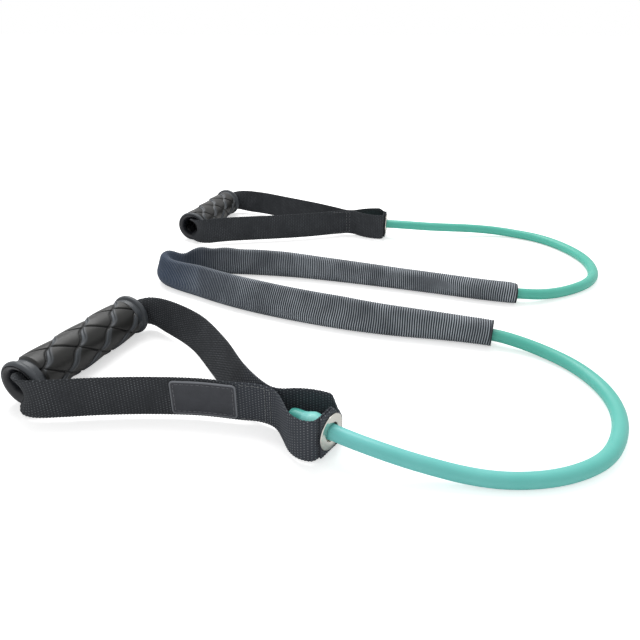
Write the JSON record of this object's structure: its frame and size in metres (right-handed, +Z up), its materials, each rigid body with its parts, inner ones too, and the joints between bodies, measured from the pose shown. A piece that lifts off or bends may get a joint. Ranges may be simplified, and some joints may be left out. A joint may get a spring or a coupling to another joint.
{
  "type": "resistance band",
  "caption": "Elastic exercise tube with a webbing stirrup handle on each end and a ribbed fabric sleeve over its middle, lying folded in half on the floor.",
  "frame": {"origin": "centre, on the floor, of the space that the handles and the sleeve take", "axes": "+Z up from the floor; the tube is doubled along X, with the sleeve's fold towards -X and the tube's free loops towards +X; handle a is on the -Y side and handle b on the +Y side"},
  "size_m": [0.5346, 0.5423, 0.0375],
  "materials": {
    "latex": "satin teal latex",
    "sleeve_nylon": "ribbed charcoal nylon with grey ribs",
    "webbing": "black woven polyester webbing",
    "grip_rubber": "moulded charcoal rubber, braided relief",
    "core_plastic": "extruded black tube",
    "bush_plastic": "moulded black",
    "plug_plastic": "turned black",
    "grommet_metal": "bright nickel plate",
    "patch_vinyl": "slate soft vinyl, sewn on"
  },
  "bodies": {
    "band": {"tube": "latex", "sleeve": "sleeve_nylon", "end_plug_a": "plug_plastic", "end_plug_b": "plug_plastic"},
    "handle_a": {"strap_a": "webbing", "grommet_eyelet_a": "grommet_metal", "grommet_washer_a": "grommet_metal", "label_patch": "patch_vinyl"},
    "grip_body_a": {"grip_a": "grip_rubber", "grip_core_a": "core_plastic", "bush_near_a": "bush_plastic", "bush_far_a": "bush_plastic"},
    "handle_b": {"strap_b": "webbing", "grommet_eyelet_b": "grommet_metal", "grommet_washer_b": "grommet_metal"},
    "grip_body_b": {"grip_b": "grip_rubber", "grip_core_b": "core_plastic", "bush_near_b": "bush_plastic", "bush_far_b": "bush_plastic"}
  },
  "joints": [
    {"name": "handle_a_swivel", "type": "hinge", "parent": "band", "child": "handle_a", "pos_m": [0.06233, -0.21936, 0.01875], "axis": [0.9608, -0.2773, 0], "continuous": true},
    {"name": "grip_a_spin", "type": "hinge", "parent": "handle_a", "child": "grip_body_a", "pos_m": [-0.1224, -0.188, 0.01875], "axis": [0.0715, 0.9974, 0], "continuous": true},
    {"name": "handle_b_swivel", "type": "hinge", "parent": "band", "child": "handle_b", "pos_m": [0.00078, 0.21261, 0.01875], "axis": [0.9914, 0.1305, 0], "continuous": true},
    {"name": "grip_b_spin", "type": "hinge", "parent": "handle_b", "child": "grip_body_b", "pos_m": [-0.2011, 0.1895, 0.01875], "axis": [-0.0698, 0.9976, 0], "continuous": true}
  ]
}
